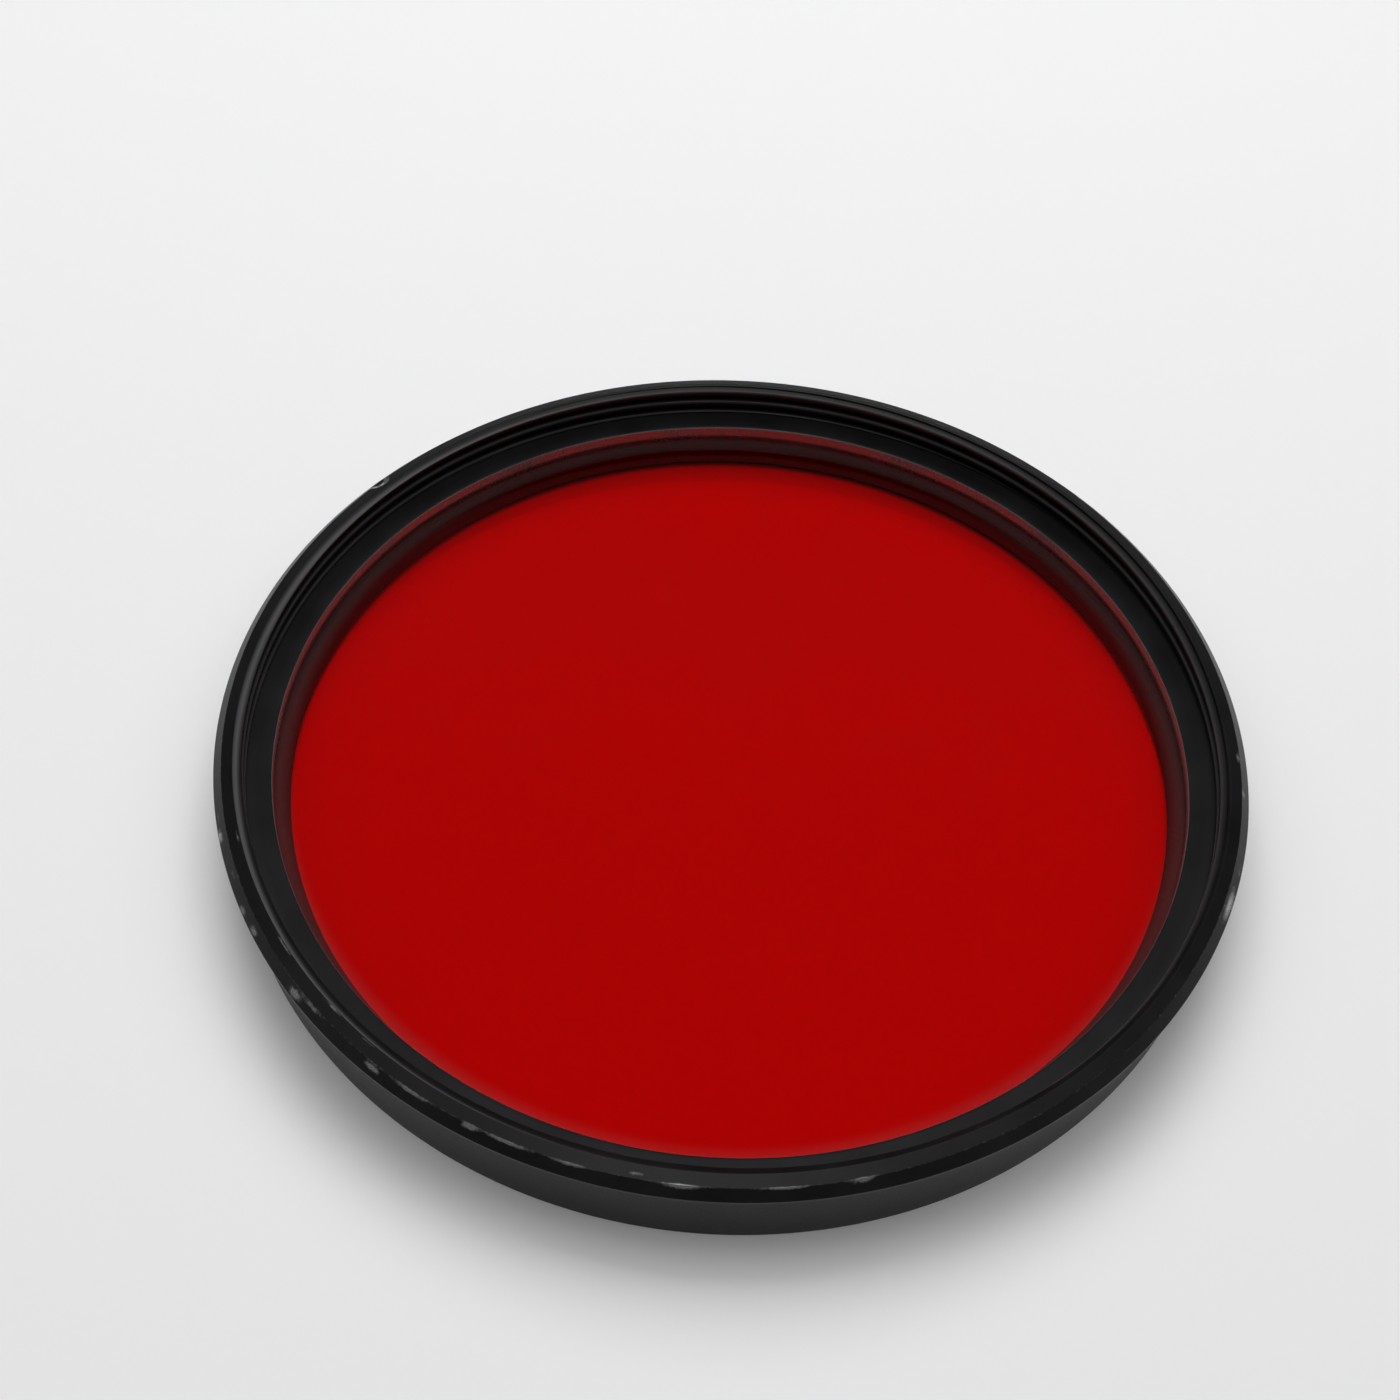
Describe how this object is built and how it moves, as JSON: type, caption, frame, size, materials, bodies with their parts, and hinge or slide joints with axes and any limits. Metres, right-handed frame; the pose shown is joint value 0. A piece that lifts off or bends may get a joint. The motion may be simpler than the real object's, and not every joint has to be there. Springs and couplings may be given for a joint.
{
  "type": "contrast filter",
  "caption": "Round camera contrast filter: red glass held by a flat threaded ring in a low black ring with a front accessory thread and a smooth barrel.",
  "frame": {"origin": "centre of the rear face, on the optical axis, where the filter stands", "axes": "+Z along the optical axis, out of the front thread; X and Y are equivalent apart from a dent in the rim at 142 degrees from +X towards +Y"},
  "size_m": [0.051, 0.051, 0.0052],
  "materials": {
    "black_anodised": "satin black anodised, rubbed and chipped to bare metal in spots along the rim's corner",
    "red_glass": "polished, deep red through the whole thickness, with fine scratches and specks"
  },
  "bodies": {
    "root": {"filter_ring": "black_anodised", "red_glass": "red_glass", "retaining_ring": "black_anodised"}
  },
  "joints": []
}
